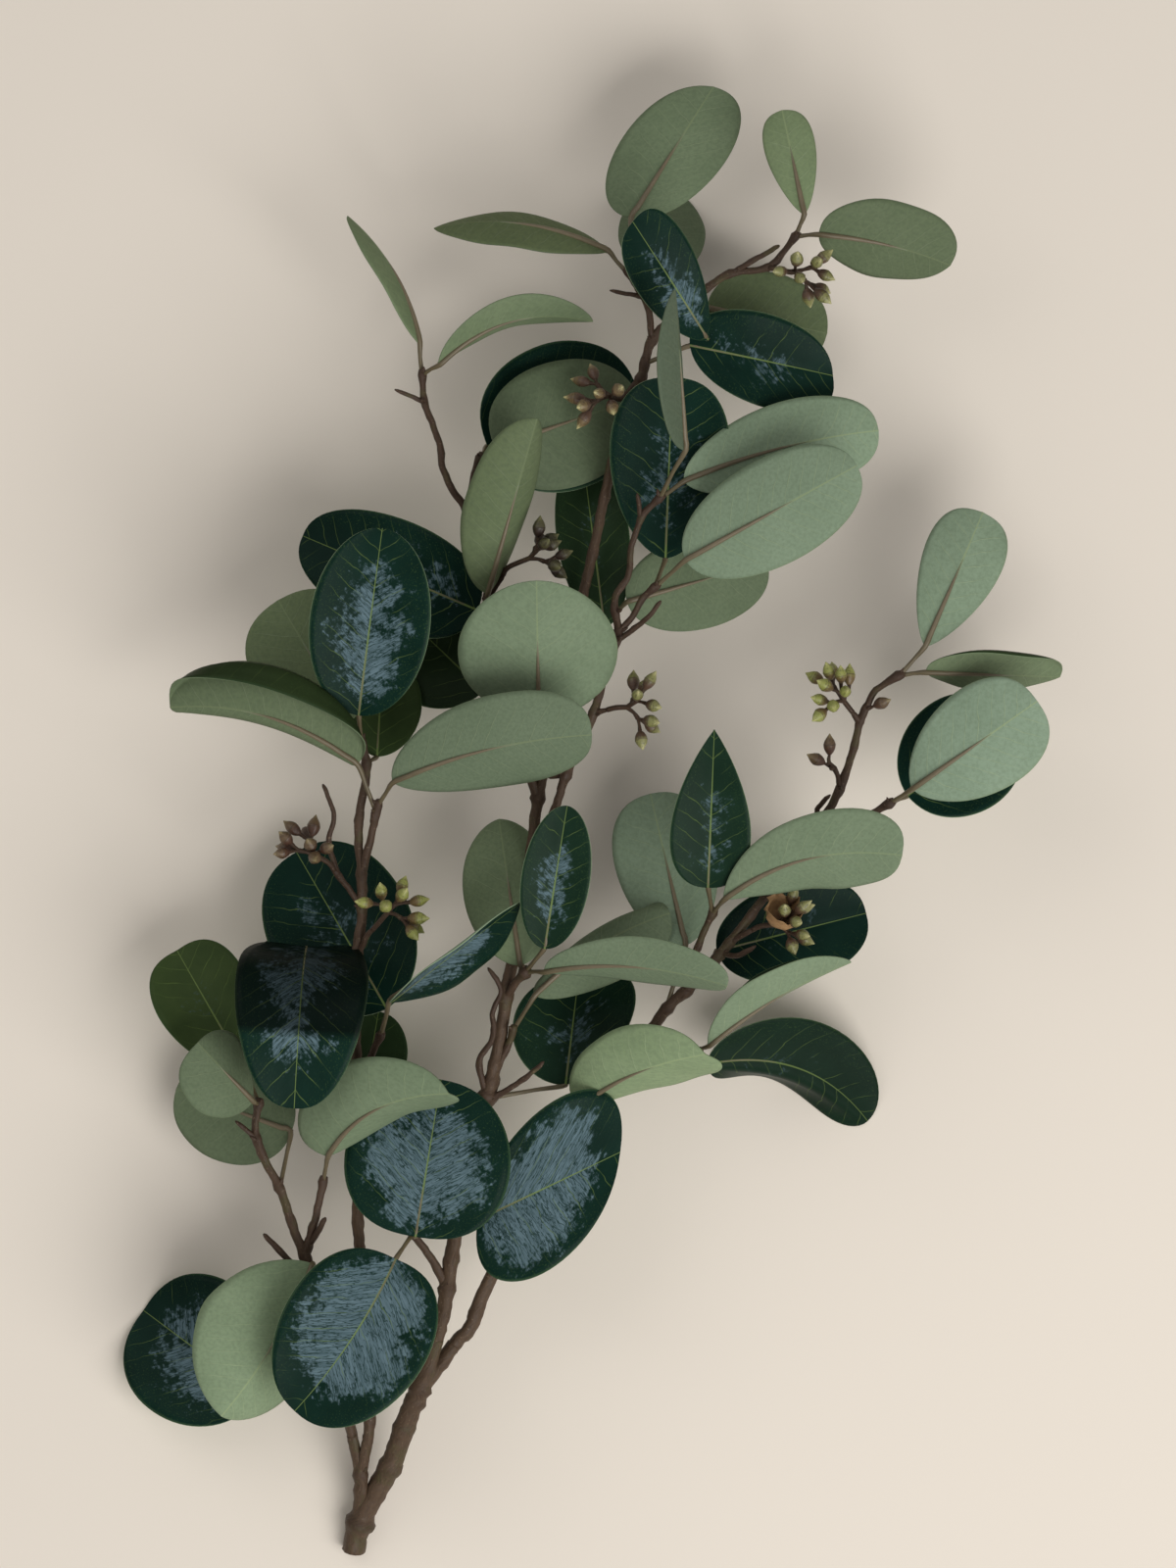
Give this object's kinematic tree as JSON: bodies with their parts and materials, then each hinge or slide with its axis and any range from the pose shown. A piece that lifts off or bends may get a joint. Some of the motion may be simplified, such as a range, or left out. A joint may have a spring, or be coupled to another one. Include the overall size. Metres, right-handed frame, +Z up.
{
  "type": "eucalyptus gum nut sprig",
  "caption": "Cut eucalyptus sprig lying flat: one forked woody stem with leafy shoots of broad round leaves and small bunches of pointed gum nuts.",
  "frame": {"origin": "centre of the underside of the bounding box, on the surface the sprig lies on", "axes": "+Z up from the surface, +Y along the sprig from the cut end to the tips, +X to the right seen from above"},
  "size_m": [0.3854, 0.6058, 0.1241],
  "materials": {
    "bark": "satin",
    "leaf": "satin",
    "nut": "satin"
  },
  "bodies": {
    "root": {"trunk": "bark", "shoot_lower_left": "leaf", "shoot_left": "leaf", "shoot_middle": "leaf", "shoot_upper_left": "leaf", "shoot_top": "leaf", "shoot_upper_right": "leaf", "shoot_right": "leaf", "shoot_right_tip": "leaf", "nuts_left": "nut", "nuts_middle_left": "nut", "nuts_upper_left": "nut", "nuts_top": "nut", "nuts_top_right": "nut", "nuts_middle": "nut", "nuts_right": "nut", "nuts_right_tip": "nut"}
  },
  "joints": []
}
